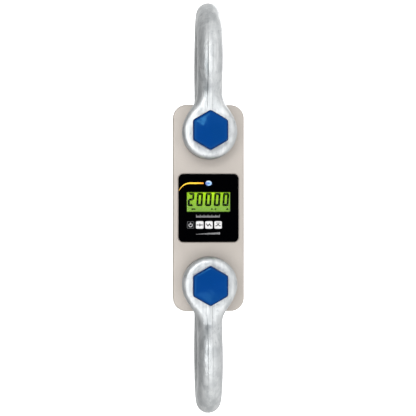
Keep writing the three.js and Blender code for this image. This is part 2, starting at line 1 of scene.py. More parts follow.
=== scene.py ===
"""The looks of a 20 t crane scale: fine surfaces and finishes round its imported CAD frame.

Lengths are in metres in the part's own frame: the origin is where the hook bears, +Z is up along the line of
pull, and the display faces -Y.
"""

import json
import math

import bmesh
import bpy
import numpy as np
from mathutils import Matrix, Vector, geometry


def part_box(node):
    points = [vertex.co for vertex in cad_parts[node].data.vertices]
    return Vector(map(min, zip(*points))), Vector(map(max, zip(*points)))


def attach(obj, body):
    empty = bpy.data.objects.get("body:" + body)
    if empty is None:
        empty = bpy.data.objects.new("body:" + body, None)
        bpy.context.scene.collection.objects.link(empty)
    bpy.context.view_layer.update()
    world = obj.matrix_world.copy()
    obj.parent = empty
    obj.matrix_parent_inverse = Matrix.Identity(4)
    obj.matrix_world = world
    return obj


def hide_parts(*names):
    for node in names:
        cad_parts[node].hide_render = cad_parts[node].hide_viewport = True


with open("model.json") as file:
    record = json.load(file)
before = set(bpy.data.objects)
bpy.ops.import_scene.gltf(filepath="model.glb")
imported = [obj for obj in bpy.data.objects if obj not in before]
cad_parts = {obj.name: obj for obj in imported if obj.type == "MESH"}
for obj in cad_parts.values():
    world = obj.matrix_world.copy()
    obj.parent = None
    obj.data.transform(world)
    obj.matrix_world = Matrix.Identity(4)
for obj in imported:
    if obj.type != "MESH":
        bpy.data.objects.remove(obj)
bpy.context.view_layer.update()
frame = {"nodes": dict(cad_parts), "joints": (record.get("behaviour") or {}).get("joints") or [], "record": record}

MM = 0.001

# ---------------- places, from the frame

JOINTS = {joint["name"]: joint for joint in frame["joints"]}
UPPER_PIN_Z = JOINTS["link_swing"]["pos_m"][2]
LOWER_PIN_Z = JOINTS["lower_shackle_swing"]["pos_m"][2]
LINK_Z = (UPPER_PIN_Z + LOWER_PIN_Z) / 2
KEYS = ("power", "zero", "graph", "peak")
COVER_SCREWS = range(1, 5)


def middle(node):
    low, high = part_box(node)
    return (Vector(low) + Vector(high)) / 2


def spread(node):
    low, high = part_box(node)
    return Vector(high) - Vector(low)


# ---------------- finishes

def srgb(red, green, blue):
    """A colour as 0-255 display values, in the linear light that shaders use."""
    def linear(value):
        value /= 255
        return value / 12.92 if value <= 0.04045 else ((value + 0.055) / 1.055) ** 2.4
    return (linear(red), linear(green), linear(blue), 1.0)


class Finish:
    """A procedural material: a base colour and gloss, varied by textures in the piece's own coordinates."""

    def __init__(self, name, color, roughness, metallic=0.0, **settings):
        self.material = bpy.data.materials.new(name)
        self.material.use_nodes = True
        self.nodes = self.material.node_tree.nodes
        self.links = self.material.node_tree.links
        self.shader = self.nodes["Principled BSDF"]
        self.set("Base Color", color)
        self.set("Roughness", roughness)
        self.set("Metallic", metallic)
        for socket, value in settings.items():
            self.set(socket.replace("_", " "), value)
        self.coordinates = self.nodes.new("ShaderNodeTexCoord").outputs["Object"]

    def set(self, socket, value):
        self.shader.inputs[socket].default_value = value

    def texture(self, kind, scale, stretch=(1, 1, 1), **values):
        """A texture node with about scale features to the metre, drawn out along an axis by stretch."""
        source = self.coordinates
        if stretch != (1, 1, 1):
            mapping = self.nodes.new("ShaderNodeMapping")
            mapping.inputs["Scale"].default_value = stretch
            self.links.new(source, mapping.inputs["Vector"])
            source = mapping.outputs["Vector"]
        made = self.nodes.new(kind)
        self.links.new(source, made.inputs["Vector"])
        made.inputs["Scale"].default_value = scale
        for socket, value in values.items():
            made.inputs[socket].default_value = value
        return made

    def noise(self, scale, detail=4.0, roughness=0.55, stretch=(1, 1, 1)):
        made = self.texture("ShaderNodeTexNoise", scale, stretch, Detail=detail, Roughness=roughness)
        return made.outputs["Fac"]

    def cells(self, scale):
        """A number from 0 to 1 for each cell of a crystal-like pattern."""
        made = self.texture("ShaderNodeTexVoronoi", scale)
        grey = self.nodes.new("ShaderNodeRGBToBW")
        self.links.new(made.outputs["Color"], grey.inputs["Color"])
        return grey.outputs["Val"]

    def edges(self, low, high):
        """A number that rises from 0 to 1 on edges that stick out."""
        return self.remap(self.nodes.new("ShaderNodeNewGeometry").outputs["Pointiness"], low, high)

    def facing(self, axis, start, end):
        """A number that runs from 0 to 1 as the surface turns so far towards or away from an axis."""
        normal = self.nodes.new("ShaderNodeNewGeometry").outputs["Normal"]
        return self.remap(self.calculate("ABSOLUTE", self.place(axis, normal)), start, end)

    def place(self, axis, source=None):
        """Where a point lies on an axis of the piece's coordinates, or another vector's part along it."""
        split = self.nodes.new("ShaderNodeSeparateXYZ")
        self.links.new(source or self.coordinates, split.inputs["Vector"])
        return split.outputs[axis]

    def along(self, axis, start, end):
        """A number that runs from 0 to 1 between two places on an axis of the piece's coordinates."""
        return self.remap(self.place(axis), start, end)

    def apart(self, axis, centre):
        """The distance to a place on an axis of the piece's coordinates."""
        off = self.remap(self.place(axis), centre, centre + 1.0, clamp=False)
        return self.calculate("ABSOLUTE", off)

    def calculate(self, operation, *sources):
        made = self.nodes.new("ShaderNodeMath")
        made.operation = operation
        for source, inlet in zip(sources, made.inputs):
            self.links.new(source, inlet)
        return made.outputs["Value"]

    def times(self, a, b):
        return self.calculate("MULTIPLY", a, b)

    def remap(self, source, from_low, from_high, to_low=0.0, to_high=1.0, clamp=True):
        made = self.nodes.new("ShaderNodeMapRange")
        made.clamp = clamp
        self.links.new(source, made.inputs["Value"])
        made.inputs["From Min"].default_value = from_low
        made.inputs["From Max"].default_value = from_high
        made.inputs["To Min"].default_value = to_low
        made.inputs["To Max"].default_value = to_high
        return made.outputs["Result"]

    def blend_color(self, factor, color, socket="Base Color"):
        """Mixes another colour over what the socket shows now, by a factor."""
        mix = self.nodes.new("ShaderNodeMix")
        mix.data_type = "RGBA"
        first, second = mix.inputs[6], mix.inputs[7]
        inlet = self.shader.inputs[socket]
        if inlet.is_linked:
            self.links.new(inlet.links[0].from_socket, first)
        else:
            first.default_value = inlet.default_value
        second.default_value = color
        self.links.new(factor, mix.inputs[0])
        self.links.new(mix.outputs[2], inlet)

    def mottle(self, color, share, source, low, high, socket="Base Color"):
        """Another colour, up to a share of it, where a texture's value rises from low to high."""
        self.blend_color(self.remap(source, low, high, 0, share), color, socket)

    def gloss(self, source, low, high):
        """Roughness that follows a texture, from low to high."""
        self.links.new(self.remap(source, 0.25, 0.75, low, high), self.shader.inputs["Roughness"])

    def bump(self, source, depth):
        """Adds relief of that depth to what the surface has already."""
        made = self.nodes.new("ShaderNodeBump")
        made.inputs["Distance"].default_value = depth
        inlet = self.shader.inputs["Normal"]
        if inlet.is_linked:
            self.links.new(inlet.links[0].from_socket, made.inputs["Normal"])
        self.links.new(source, made.inputs["Height"])
        self.links.new(made.outputs["Normal"], inlet)


def blasted_aluminium():
    """Bead-blasted metal, a little darker in a band across the link's middle, beside the panel."""
    finish = Finish("blasted_aluminium", srgb(186, 179, 172), 0.52, 0.2)
    finish.mottle(srgb(177, 170, 162), 0.5, finish.noise(9, 3), 0.3, 0.7)
    finish.mottle(srgb(165, 158, 151), 0.35, finish.noise(900, 2), 0.45, 0.75)
    finish.mottle(srgb(168, 161, 154), 0.65, finish.apart("Z", LINK_Z), 96 * MM, 60 * MM)
    finish.gloss(finish.noise(30, 4), 0.46, 0.58)
    finish.bump(finish.noise(1500, 2, 0.6), 0.05 * MM)
    return finish.material


def galvanised_steel():
    """Hot-dipped zinc: crystals, clouds, runs along the bars and spots, with painted shade beside the seam, in the
    hollows, and on the ears where they face the link.
    """
    crystals, neck_start, neck_end = 95, 190 * MM, 300 * MM
    finish = Finish("galvanised_steel", srgb(202, 205, 206), 0.4, 0.68)
    finish.mottle(srgb(172, 176, 178), 0.4, finish.cells(crystals), 0.2, 0.8)
    finish.mottle(srgb(158, 162, 164), 0.6, finish.noise(24, 5), 0.42, 0.72)
    finish.mottle(srgb(226, 228, 228), 0.6, finish.noise(110, 3, stretch=(1, 1, 0.07)), 0.46, 0.7)
    finish.mottle(srgb(148, 153, 156), 0.4, finish.noise(90, 3, stretch=(1, 1, 0.06)), 0.54, 0.74)
    finish.mottle(srgb(122, 128, 132), 0.45, finish.noise(120, 4, 0.7), 0.58, 0.72)
    # painted shade: a patchy darker strip on the left of the parting line, over the necks
    shade_beside_seam = finish.times(finish.along("X", -15 * MM, -6 * MM), finish.along("X", 2 * MM, -5 * MM))
    from_middle = finish.apart("Z", LINK_Z)
    over_neck = finish.times(finish.remap(from_middle, neck_start, neck_start + 25 * MM),
                             finish.remap(from_middle, neck_end, neck_end - 50 * MM))
    patchy_seam_shade = finish.remap(finish.noise(38, 4, stretch=(1, 1, 0.35)), 0.36, 0.62, 0.1, 0.85)
    finish.blend_color(finish.times(finish.times(shade_beside_seam, over_neck), patchy_seam_shade), srgb(92, 102, 106))
    # painted shade in the hollows and creases
    finish.blend_color(finish.edges(0.488, 0.462), srgb(96, 98, 98))
    # painted shadow, in patches, on the ears' faces towards the link where the link shades them
    shadow_beside_link = finish.times(finish.remap(finish.apart("Y", 0.0), 80 * MM, 56 * MM),
                               finish.remap(from_middle, 150 * MM, 112 * MM))
    patchy_shadow = finish.remap(finish.noise(70, 4, 0.65), 0.32, 0.6, 0.5, 0.95)
    finish.blend_color(finish.times(shadow_beside_link, patchy_shadow), srgb(46, 50, 54))
    finish.gloss(finish.noise(45, 5, stretch=(1, 1, 0.4)), 0.3, 0.5)
    for scale, depth in ((32, 2.2 * MM), (110, 0.5 * MM), (260, 0.16 * MM)):
        finish.bump(finish.noise(scale, 3), depth)
    finish.bump(finish.cells(crystals), 0.05 * MM)
    return finish.material


def blue_paint():
    """Glossy paint with painted shade on the head's sloping edges, chipped at its corners."""
    finish = Finish("blue_paint", srgb(0, 52, 122), 0.09, 0.0, Specular_IOR_Level=0.3)
    finish.set("Specular Tint", (0.14, 0.62, 1, 1))
    finish.mottle(srgb(0, 52, 114), 0.6, finish.noise(34, 4), 0.35, 0.7)
    finish.mottle(srgb(0, 72, 142), 0.4, finish.noise(420, 3), 0.6, 0.8)
    # painted shade: the head's sloping edges darker than its face
    bevel = finish.times(finish.facing("Y", 0.99, 0.88), finish.facing("Y", 0.1, 0.4))
    finish.blend_color(bevel, srgb(0, 36, 92))
    wear = finish.times(finish.edges(0.52, 0.56), finish.remap(finish.noise(260, 5), 0.56, 0.66))
    finish.blend_color(wear, srgb(96, 122, 160))
    finish.gloss(finish.noise(60, 4), 0.08, 0.14)
    finish.bump(finish.noise(300, 2), 0.05 * MM)
    finish.bump(finish.noise(150, 2, stretch=(1, 1, 0.5)), 0.12 * MM)
    finish.bump(finish.noise(55, 2), 0.3 * MM)
    return finish.material


def plated_steel(name, color, roughness=0.34, scale=400, stretch=(1, 1, 1)):
    """Plated or bare steel. Stretched grain makes it brushed."""
    finish = Finish(name, color, roughness, 0.9)
    darker = tuple(0.7 * c for c in color[:3]) + (1,)
    finish.mottle(darker, 0.3, finish.noise(40, 5), 0.4, 0.7)
    grain = finish.noise(scale, 3, stretch=stretch)
    finish.mottle(darker, 0.5, grain, 0.4, 0.7)
    finish.gloss(grain, roughness - 0.06, roughness + 0.1)
    finish.bump(grain, 0.02 * MM)
    return finish.material


def plastic(name, color, roughness, grain=700, depth=0.03, fleck=0.25, **settings):
    """A plain surface with fine grain of a depth in millimetres, flecked a little lighter."""
    finish = Finish(name, color, roughness, 0.0, **settings)
    lighter = tuple(min(1.0, 1.25 * c + 0.002) for c in color[:3]) + (1,)
    finish.mottle(lighter, fleck, finish.noise(grain / 6, 4), 0.4, 0.75)
    finish.gloss(finish.noise(grain / 4, 3), roughness - 0.05, roughness + 0.07)
    finish.bump(finish.noise(grain, 2), depth * MM)
    return finish.material


def lit_display():
    """Yellow-green, brightest at the middle of its top edge, as a lamp behind the glass makes it."""
    low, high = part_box("display_window")
    green, lime, bright, dull = srgb(112, 152, 56), srgb(122, 168, 14), srgb(166, 212, 2), srgb(112, 158, 36)
    finish = Finish("lit_display", green, 0.5, Specular_IOR_Level=0.1)
    finish.set("Emission Strength", 0.25)
    centre = finish.nodes.new("ShaderNodeVectorMath")
    centre.operation = "DISTANCE"
    finish.links.new(finish.coordinates, centre.inputs[0])
    centre.inputs[1].default_value = ((low[0] + high[0]) / 2, low[1], high[2] - 6 * MM)
    glow = finish.remap(centre.outputs["Value"], 44 * MM, 4 * MM)
    rise = finish.along("Z", low[2] + 6 * MM, high[2])
    for socket in ("Base Color", "Emission Color"):
        finish.set(socket, green)
        finish.blend_color(rise, lime, socket)
        finish.blend_color(finish.times(glow, rise), bright, socket)
        finish.mottle(dull, 0.2, finish.noise(160, 3), 0.4, 0.8, socket)
    return finish.material


def clear_plastic():
    finish = Finish("clear_plastic", (1, 1, 1, 1), 0.03, 0.0, Transmission_Weight=1.0, IOR=1.12)
    finish.gloss(finish.noise(200, 2), 0.02, 0.05)
    finish.bump(finish.noise(90, 2), 0.004 * MM)
    return finish.material


def stripe_print():
    """Yellow ink that turns to orange towards the badge."""
    finish = Finish("stripe_print", srgb(255, 205, 20), 0.45)
    finish.blend_color(finish.along("X", -22 * MM, -7 * MM), srgb(255, 140, 20))
    finish.blend_color(finish.along("X", -46 * MM, -56 * MM), srgb(214, 150, 30))
    finish.bump(finish.noise(900, 2), 0.01 * MM)
    return finish.material


def badge_print():
    """Pale blue ink, darker to the left and lightest at the top."""
    finish = Finish("badge_print", srgb(150, 190, 235), 0.4)
    finish.blend_color(finish.along("X", 1 * MM, -5 * MM), srgb(70, 90, 170))
    finish.blend_color(finish.along("Z", LINK_Z + 47 * MM, LINK_Z + 50 * MM), srgb(205, 222, 245))
    finish.bump(finish.noise(900, 2), 0.01 * MM)
    return finish.material


FINISHES = {
    "link_aluminium": blasted_aluminium(),
    "galvanised_steel": galvanised_steel(),
    "blue_steel": blue_paint(),
    "zinc_steel": plated_steel("zinc_plate", srgb(196, 198, 202)),
    "stainless_steel": plated_steel("stainless", srgb(206, 205, 202), 0.34, 420, (0.02, 1, 3)),
    "spring_steel": plated_steel("nickel_wire", srgb(206, 204, 198), 0.25),
    "clear_window": clear_plastic(),
    "lcd": lit_display(),
    "black_overlay": plastic("black_overlay", srgb(1, 1, 2), 0.45, 1400, 0.012, 0.15, Specular_IOR_Level=0.0),
    "black_key": plastic("black_key", srgb(2, 2, 3), 0.45, 1400, 0.012, 0.15, Specular_IOR_Level=0.01),
}
PLAIN = {  # slot: display colour, roughness, and where they differ from most, grain, depth and fleck
    "black_nylon": ((34, 34, 37), 0.5),
    "white_key": ((216, 216, 216), 0.5, 1400, 0.012, 0.1),
    "backlight": ((190, 224, 110), 0.5),
    "black_abs": ((38, 40, 43), 0.55),
    "circuit_board": ((22, 98, 52), 0.35, 500, 0.02, 0.6),
    "chip_black": ((28, 29, 31), 0.5, 1200, 0.02),
    "connector_white": ((230, 226, 212), 0.5),
    "gasket_rubber": ((38, 38, 38), 0.8, 900, 0.06),
    "gauge_foil": ((202, 132, 62), 0.35, 500, 0.02),
    "ribbon_polyimide": ((178, 102, 32), 0.35, 400, 0.02),
    "lead_red": ((142, 30, 28), 0.5),
    "cell_steel": ((46, 84, 66), 0.3, 300, 0.01),
}
for slot_name, (color, *look) in PLAIN.items():
    FINISHES[slot_name] = plastic(slot_name, srgb(*color), *look)
GREY_PRINT = plastic("grey_print", srgb(168, 168, 170), 0.5, 1400, 0.01)
DARK_PRINT = plastic("dark_print", srgb(12, 13, 15), 0.5, 1400, 0.01, Specular_IOR_Level=0.05)
DIGIT_INK = plastic("digit_ink", srgb(2, 12, 6), 0.5, 900, 0.01, Specular_IOR_Level=0.0)
STRIPE_PRINT = stripe_print()
BADGE_PRINT = badge_print()
BADGE_CENTRE_PRINT = plastic("badge_centre", srgb(52, 120, 190), 0.4)
BORDER_PRINT = plastic("border_print", srgb(96, 98, 100), 0.5)

# ---------------- outlines, in X and Z seen from the front

WORN_CORNER = 1.133  # how far a hexagon's worn corners reach, against half its width across flats
WORN_BEND = 70  # the higher this power, the tighter the bend into a worn corner


def angles(count):
    """Evenly spaced angles, once round."""
    return [2 * math.pi * i / count for i in range(count)]


def rectangle(width, height, radius, x=0.0, z=0.0, steps=10):
    """A rectangle with round corners, as a function that gives its points when drawn in by an inset."""
    def outline(inset=0.0):
        bend = max(radius - inset, 0.01 * MM)
        across, up = width / 2 - inset - bend, height / 2 - inset - bend
        points = []
        for corner, (side, end) in enumerate(((1, 1), (-1, 1), (-1, -1), (1, -1))):
            for step in range(steps + 1):
                angle = (corner + step / steps) * math.pi / 2
                points.append((x + side * across + bend * math.cos(angle),
                               z + end * up + bend * math.sin(angle)))
        return points
    return outline


def circle(radius, x=0.0, z=0.0, steps=64, squeeze=1.0):
    """A circle, or an ellipse whose height is squeeze times its width."""
    def outline(inset=0.0):
        drawn = radius - inset
        return [(x + drawn * math.cos(t), z + squeeze * drawn * math.sin(t)) for t in angles(steps)]
    return outline


def polygon(points):
    """A fixed outline, for thin prints that have no rounded rim."""
    return lambda inset=0.0: list(points)


def hexagon_radius(angle, flats):
    """How far a hexagon with corners at the top and bottom reaches at an angle, its corners a little worn."""
    apothem = flats / 2
    sixth = math.pi / 3
    off_middle = (angle - math.pi / 2) % sixth - sixth / 2
    sharp, worn = apothem / math.cos(off_middle), apothem * WORN_CORNER
    return (sharp ** -WORN_BEND + worn ** -WORN_BEND) ** (-1 / WORN_BEND)


def bezier(handles, count):
    """Points on a curve with four handles, without its first point."""
    points = []
    for t in np.linspace(0, 1, count)[1:]:
        weights = ((1 - t) ** 3, 3 * t * (1 - t) ** 2, 3 * t ** 2 * (1 - t), t ** 3)
        points.append(tuple(sum(w * h[k] for w, h in zip(weights, handles)) for k in range(2)))
    return points


def directions(path):
    """The unit tangent at each point of a path."""
    along = np.gradient(path, axis=0)
    return along / np.linalg.norm(along, axis=1)[:, None]


# ---------------- solids

SHARP = math.radians(32)  # edges that turn by more than this stay sharp


def add(name, data):
    """A new object in the scene."""
    made = bpy.data.objects.new(name, data)
    bpy.context.scene.collection.objects.link(made)
    return made


class Solid:
    """A closed mesh made ring by ring. Caps are flat and everything else is smooth, with sharp edges kept."""

    def __init__(self):
        self.points, self.faces, self.flat = [], [], []

    def ring(self, points):
        start = len(self.points)
        self.points.extend(points)
        return list(range(start, len(self.points)))

    def follow(self, outline, inset, y):
        """A ring along an outline that is drawn in by an inset."""
        return self.ring([(px, y, pz) for px, pz in outline(inset)])

    def band(self, a, b):
        for i in range(len(a)):
            j = (i + 1) % len(a)
            self.faces.append((a[i], a[j], b[j], b[i]))
            self.flat.append(False)

    def skin(self, rings):
        for a, b in zip(rings, rings[1:]):
            self.band(a, b)
        return rings

    def close(self, rings):
        """A skin over all the rings, with a cap on each end."""
        self.skin(rings)
        self.cap(rings[0])
        self.cap(rings[-1])

    def cap(self, *rings):
        """Fills the first ring, leaving the others open."""
        polylines = [[Vector(self.points[i]) for i in ring] for ring in rings]
        flat_index = [i for ring in rings for i in ring]
        for corner in geometry.tessellate_polygon(polylines):
            self.faces.append(tuple(flat_index[i] for i in corner))
            self.flat.append(True)

    def mesh(self, name):
        made = bpy.data.meshes.new(name)
        made.from_pydata([tuple(p) for p in self.points], [], self.faces)
        work = bmesh.new()
        work.from_mesh(made)
        for face, flat in zip(work.faces, self.flat):
            face.smooth = not flat
        bmesh.ops.remove_doubles(work, verts=work.verts, dist=1e-6)
        bmesh.ops.recalc_face_normals(work, faces=work.faces)
        work.to_mesh(made)
        work.free()
        made.set_sharp_from_angle(angle=SHARP)
        return made

    def show(self, name, finish):
        made = add(name, self.mesh(name))
        made.data.materials.append(finish)
        return made

    def mark(self, name, body, finish):
        """Adds the solid to the scene as a printed mark that rides on a body."""
        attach(self.show(name, finish), body)

    def piece(self, name, body, slot, stands_for):
        """Adds the solid to the scene, riding on a body and standing for its CAD nodes."""
        made = self.show(name, FINISHES[slot])
        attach(made, body)
        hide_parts(*stands_for)
        return made


def rim(front, back, radius, steps=5):
    """Levels for a slab whose two edges are rounded, as (inset, y) from the front face to the back."""
    quarter = [math.pi / 2 * step / steps for step in range(steps + 1)]
    fore = [(radius * (1 - math.sin(t)), front + radius * (1 - math.cos(t))) for t in quarter]
    return fore + [(inset, front + back - y) for inset, y in reversed(fore)]


def slab(outer, levels, holes=(), front_pockets=(), back_pockets=()):
    """A plate through levels of (inset, y), with through holes, and pockets of (outline, inset, y) steps."""
    solid = Solid()

    def pocket(steps):
        rings = solid.skin([solid.follow(*step) for step in steps])
        solid.cap(rings[-1])
        return rings[0]

    walls = [solid.skin([solid.follow(outer, inset, y) for inset, y in levels])]
    walls += [solid.skin([solid.follow(hole, -inset, y) for inset, y in levels]) for hole in holes]
    solid.cap(*[wall[0] for wall in walls], *[pocket(steps) for steps in front_pockets])
    solid.cap(*[wall[-1] for wall in walls], *[pocket(steps) for steps in back_pockets])
    return solid


def turned(profile, z=0.0, segments=64, flats=None):
    """A solid round an axis along Y, from (radius, y) pairs. A third value makes a ring so far hexagonal."""
    solid = Solid()
    turns = angles(segments)
    rings = []
    for radius, y, *hexagonal in profile:
        reach = [radius] * segments
        if any(hexagonal):
            reach = [radius * (1 + hexagonal[0] * (2 * hexagon_radius(t, flats) / flats - 1)) for t in turns]
        rings.append(solid.ring([(r * math.cos(t), y, z + r * math.sin(t)) for r, t in zip(reach, turns)]))
    solid.skin(rings)
    return solid


def smooth_path(points, count):
    """A smooth curve through the given points, with count steps between each two."""
    points = np.array(points, float)
    ends = np.vstack([2 * points[0] - points[1], points, 2 * points[-1] - points[-2]])
    made = []
    for i in range(1, len(ends) - 2):
        p0, p1, p2, p3 = ends[i - 1:i + 3]
        for t in np.linspace(0, 1, count, endpoint=False):
            made.append(0.5 * (2 * p1 + (p2 - p0) * t + (2 * p0 - 5 * p1 + 4 * p2 - p3) * t ** 2
                               + (3 * p1 - p0 - 3 * p2 + p3) * t ** 3))
    made.append(points[-1])
    return np.array(made)


def rod_along(path, radius, sides=16):
    """A round rod along a path that lies in X and Z, with rounded ends."""
    solid = Solid()
    side = np.array((0.0, 1.0, 0.0))
    tangents = directions(path)
    tip = (0.02, 0.5, 0.87)
    stations = [(0, size, -math.sqrt(1 - size ** 2)) for size in tip]
    stations += [(i, 1.0, 0.0) for i in range(len(path))]
    stations += [(len(path) - 1, size, math.sqrt(1 - size ** 2)) for size in reversed(tip)]
    rings = []
    for index, size, push in stations:
        tangent = tangents[index]
        up = np.cross(tangent, side)
        centre = path[index] + tangent * push * radius
        rings.append(solid.ring([tuple(centre + size * radius * (math.cos(t) * side + math.sin(t) * up))
                                 for t in angles(sides)]))
    solid.close(rings)
    return solid


# ---------------- the load link

FIT_GAP = 0.3 * MM  # between pieces that rest on each other
SKIN_GAP = 0.05 * MM  # between flat pieces that are clamped together
LINK_CORNER, LINK_EDGE = 25 * MM, 3 * MM
LINK_BORE = 27 * MM
PANEL_CORNER, COVER_CORNER = 9 * MM, 8 * MM
POCKET_CORNER = 6 * MM
DISPLAY_POCKET, BATTERY_POCKET = (95 * MM, 109 * MM), (78 * MM, 58 * MM)


def around(node, corner, steps=10, play=0.0):
    """A rectangle round the link's middle, as large as a node and so much more."""
    low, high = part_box(node)
    return rectangle(high[0] - low[0] + play, high[2] - low[2] + play, corner, z=LINK_Z, steps=steps)


def link_block():
    low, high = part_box("load_link_body")
    front_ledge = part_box("panel_gasket")[1][1] + SKIN_GAP
    back_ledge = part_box("cover_gasket")[0][1] - SKIN_GAP
    front_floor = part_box("strain_gauge_1")[1][1] + SKIN_GAP
    back_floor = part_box("battery_holder")[0][1] - FIT_GAP
    play = MM  # how much wider each recess is than what lies in it
    outer = around("load_link_body", LINK_CORNER, 24)
    panel = around("panel_plate", PANEL_CORNER + play / 2, play=play)
    cover = around("battery_cover", COVER_CORNER + play / 2, play=play)
    display_pocket = rectangle(*DISPLAY_POCKET, POCKET_CORNER, z=LINK_Z)
    battery_pocket = rectangle(*BATTERY_POCKET, POCKET_CORNER, z=LINK_Z)
    bores = [circle(LINK_BORE, z=z, steps=96) for z in (UPPER_PIN_Z, LOWER_PIN_Z)]
    front_chamfer, back_chamfer = 1.5 * MM, 0.6 * MM
    front = [(panel, -front_chamfer, low[1]), (panel, 0, low[1] + front_chamfer), (panel, 0, front_ledge),
             (display_pocket, 0, front_ledge), (display_pocket, 0, front_floor)]
    back = [(cover, -back_chamfer, high[1]), (cover, 0, high[1] - back_chamfer), (cover, 0, back_ledge),
            (battery_pocket, 0, back_ledge), (battery_pocket, 0, back_floor)]
    block = slab(outer, rim(low[1], high[1], LINK_EDGE, 6), bores, [front], [back])
    block.piece("link_block", "load_link", "link_aluminium", ["load_link_body"])


def battery_cover():
    """The rear cover plate, with a cone-shaped sink for each screw."""
    low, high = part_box("battery_cover")
    wide, narrow, deep = 4.3 * MM, 2.3 * MM, 2 * MM
    sinks = []
    for number in COVER_SCREWS:
        place = middle(f"cover_screw_{number}")
        sinks.append([(circle(wide, place.x, place.z, 40), 0, high[1]),
                      (circle(narrow, place.x, place.z, 40), 0, high[1] - deep)])
    plate = slab(around("battery_cover", COVER_CORNER), rim(low[1], high[1], 0.5 * MM), back_pockets=sinks)
    plate.piece("battery_cover_plate", "load_link", "stainless_steel", ["battery_cover"])


def cover_screw(number):
    """A countersunk screw with a square drive."""
    node = f"cover_screw_{number}"
    low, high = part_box(node)
    place = middle(node)
    head, shank = (high[0] - low[0]) / 2, 2 * MM
    cone = head - shank
    edge, chamfer = high[1] - 0.3 * MM, 0.12 * MM
    levels = [(cone, low[1]), (cone, edge - cone), (0, edge), (0, high[1] - chamfer), (chamfer, high[1])]
    drive = rectangle(2.2 * MM, 2.2 * MM, 0.5 * MM, place.x, place.z, 3)
    socket = [(drive, 0, high[1]), (drive, 0.15 * MM, high[1] - 1.6 * MM)]
    screw = slab(circle(head, place.x, place.z, 40), levels, back_pockets=[socket])
    screw.piece(f"cover_screw_head_{number}", "load_link", "stainless_steel", [node])


# ---------------- the display panel

PRINT = 0.06 * MM  # how far printed marks stand out
SUNK = 0.01 * MM  # how far they reach into the face they are printed on
BADGE_Z = LINK_Z + 45.9 * MM


def printed(name, marks, face_y, finish, body="load_link"):
    """Thin marks on a face that looks to -Y, all in one piece. Each is an outline and its holes."""
    whole = Solid()
    for outline, *holes in marks:
        one = slab(outline, [(0, face_y - PRINT), (0, face_y + SUNK)], holes)
        start = len(whole.points)
        whole.points += one.points
        whole.faces += [tuple(i + start for i in face) for face in one.faces]
        whole.flat += one.flat
    whole.mark(name, body, finish)


def key_outline(name, grow=0.0):
    """The outline of a key's face, centred on its CAD node."""
    place = middle(f"{name}_key")
    side, corner = 13.8 * MM, 2.2 * MM
    return rectangle(side + 2 * grow, side + 2 * grow, corner + grow, place.x, place.z, 6)


def screen_outline(grow=0.0):
    place, size = middle("display_window"), spread("display_window")
    return rectangle(size.x + 2 * grow, size.z + 2 * grow, MM + grow, place.x, place.z, 6)


def overlay():
    low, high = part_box("membrane_overlay")
    openings = [screen_outline(0.2 * MM)] + [key_outline(name, FIT_GAP) for name in KEYS]
    film = slab(around("membrane_overlay", PANEL_CORNER, 14), rim(low[1], high[1], 0.12 * MM, 3), openings)
    film.piece("printed_overlay", "load_link", "black_overlay", ["membrane_overlay"])


def window():
    low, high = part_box("display_window")
    pane = slab(screen_outline(), rim(low[1], high[1], 0.15 * MM, 3))
    pane.piece("clear_screen", "load_link", "clear_window", ["display_window"])


def stripe(face_y):
    """A band that runs level to the badge and sweeps down to the panel's left edge, thinning as it goes."""
    level, left = LINK_Z + 46 * MM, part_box("membrane_overlay")[0][0] + 0.3 * MM
    start, bend = -9.2 * MM, -33 * MM
    thick, thinning = 1.4 * MM, 0.95 * MM
    handles = [(bend, level), (bend - 11 * MM, level), (left + 6 * MM, level - 5 * MM),
               (left, level - 14 * MM)]
    curve = np.array([(start, level), (bend, level)] + bezier(handles, 25))
    along = directions(curve)
    across = np.column_stack([along[:, 1], -along[:, 0]])
    share = np.clip((bend - curve[:, 0]) / (bend - left), 0, 1)
    half = (thick - thinning * share ** 1.3)[:, None]
    outline = np.vstack([curve + across * half, (curve - across * half)[::-1]])
    printed("panel_stripe", [[polygon(outline)]], face_y, STRIPE_PRINT)


def bar(x0, z0, x1, z1, width):
    """A straight stroke with rounded ends."""
    angle = math.atan2(z1 - z0, x1 - x0)
    points = []
    for x, z, turn in ((x1, z1, -math.pi / 2), (x0, z0, math.pi / 2)):
        for step in range(7):
            t = angle + turn + math.pi * step / 6
            points.append((x + width / 2 * math.cos(t), z + width / 2 * math.sin(t)))
    return polygon(points)


def badge(face_y):
    """A plain oval with a smaller one on it."""
    printed("panel_badge", [[circle(5.9 * MM, 0.0, BADGE_Z, 48, 0.78)]], face_y, BADGE_PRINT)
    eye = circle(2.5 * MM, 0.3 * MM, BADGE_Z, 32, 0.62)
    printed("panel_badge_centre", [[eye]], face_y - PRINT, BADGE_CENTRE_PRINT)


def scale_marks(face_y):
    """A ruler of ticks under the screen and a row of rising bars under the keys."""
    first, last = -22.6 * MM, 20.6 * MM

    def spaced(count):
        return enumerate(first + (last - first) * i / (count - 1) for i in range(count))

    foot, short, tall, every = LINK_Z - 17.1 * MM, 2.7 * MM, 4.6 * MM, 5
    ticks = [[bar(x, foot, x, foot + (short if i % every else tall), 0.55 * MM)] for i, x in spaced(31)]
    ticks.append([bar(first, foot, last, foot, 0.5 * MM)])
    printed("panel_ruler", ticks, face_y, GREY_PRINT)

    foot, lowest, rise, width = LINK_Z - 49.0 * MM, 0.8 * MM, 0.14 * MM, 0.8 * MM
    bars = []
    for i, x in spaced(25):
        height = lowest + rise * i
        bars.append([rectangle(width, height, 0.2 * MM, x, foot + height / 2, 3)])
    printed("panel_level_bars", bars, face_y, GREY_PRINT)


SEGMENTS = {0: "abcdef", 2: "abged"}  # the lit segments of the digits that the reading has


